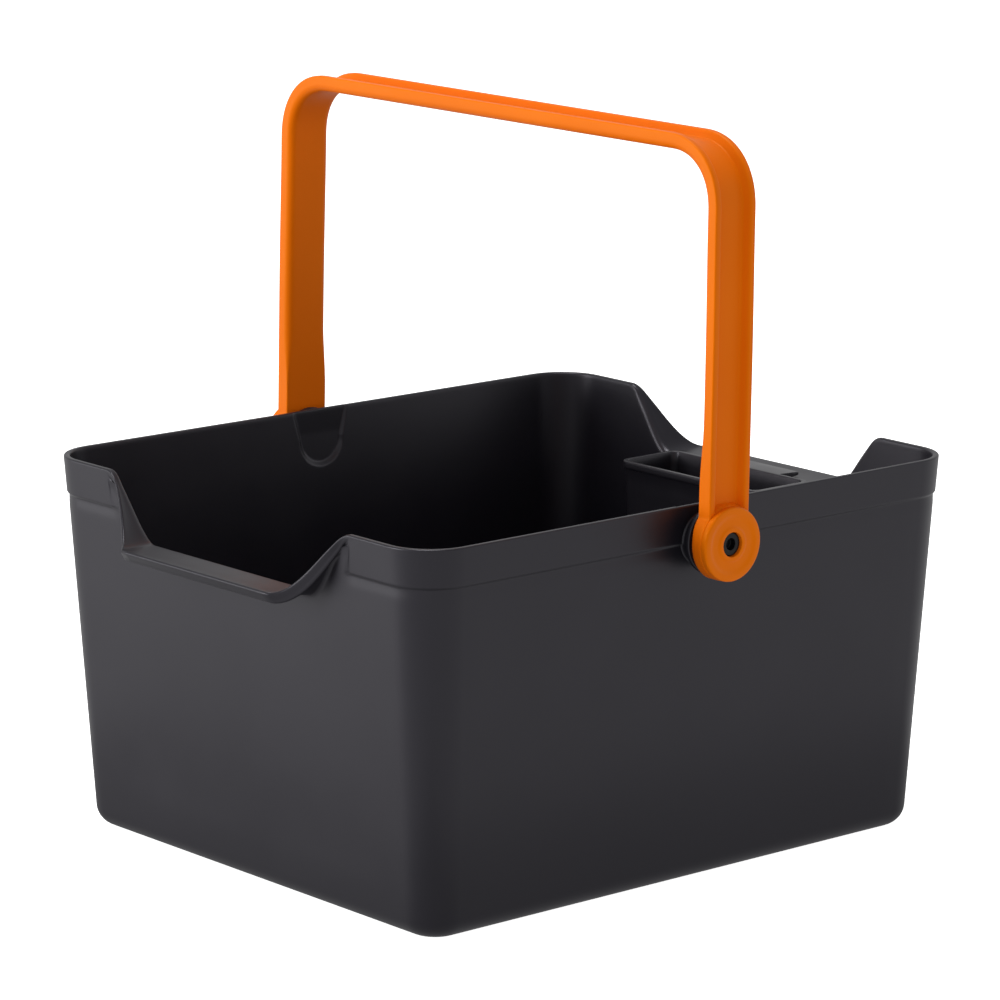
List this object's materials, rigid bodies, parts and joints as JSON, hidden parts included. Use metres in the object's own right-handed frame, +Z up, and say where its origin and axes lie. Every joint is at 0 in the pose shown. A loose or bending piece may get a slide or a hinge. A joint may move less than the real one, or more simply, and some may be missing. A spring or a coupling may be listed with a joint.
{
  "type": "tool storage caddy",
  "caption": "Open moulded caddy with hand cut-outs in its ends, a bail handle that folds down on hub discs, and a lift-out parts tray.",
  "frame": {"origin": "middle of the underside, on the surface that the caddy stands on", "axes": "+X along the tub's length, from the plain end to the parts tray's end; +Y along the handle's pivot axis, from the near hub to the far hub; +Z up"},
  "size_m": [0.4048, 0.3526, 0.3844],
  "materials": {
    "tub_plastic": "satin, finely grained charcoal polypropylene",
    "handle_plastic": "satin orange polypropylene",
    "hub_plastic": "satin orange acetal",
    "pin_plastic": "semi-gloss black acetal",
    "tray_plastic": "satin black polypropylene"
  },
  "bodies": {
    "tub_body": {"tub": "tub_plastic", "near_pivot_pin": "pin_plastic", "far_pivot_pin": "pin_plastic"},
    "handle_body": {"handle": "handle_plastic", "near_hub_disc": "hub_plastic", "far_hub_disc": "hub_plastic"},
    "tray_body": {"parts_tray": "tray_plastic"}
  },
  "joints": [
    {"name": "handle_fold", "type": "hinge", "parent": "tub_body", "child": "handle_body", "pos_m": [0, 0, 0.182], "axis": [0, 1, 0], "range_deg": [-89, 86.5]},
    {"name": "tray_lift", "type": "slide", "parent": "tub_body", "child": "tray_body", "axis": [0, 0, 1], "range_m": [0, 0.2]}
  ]
}
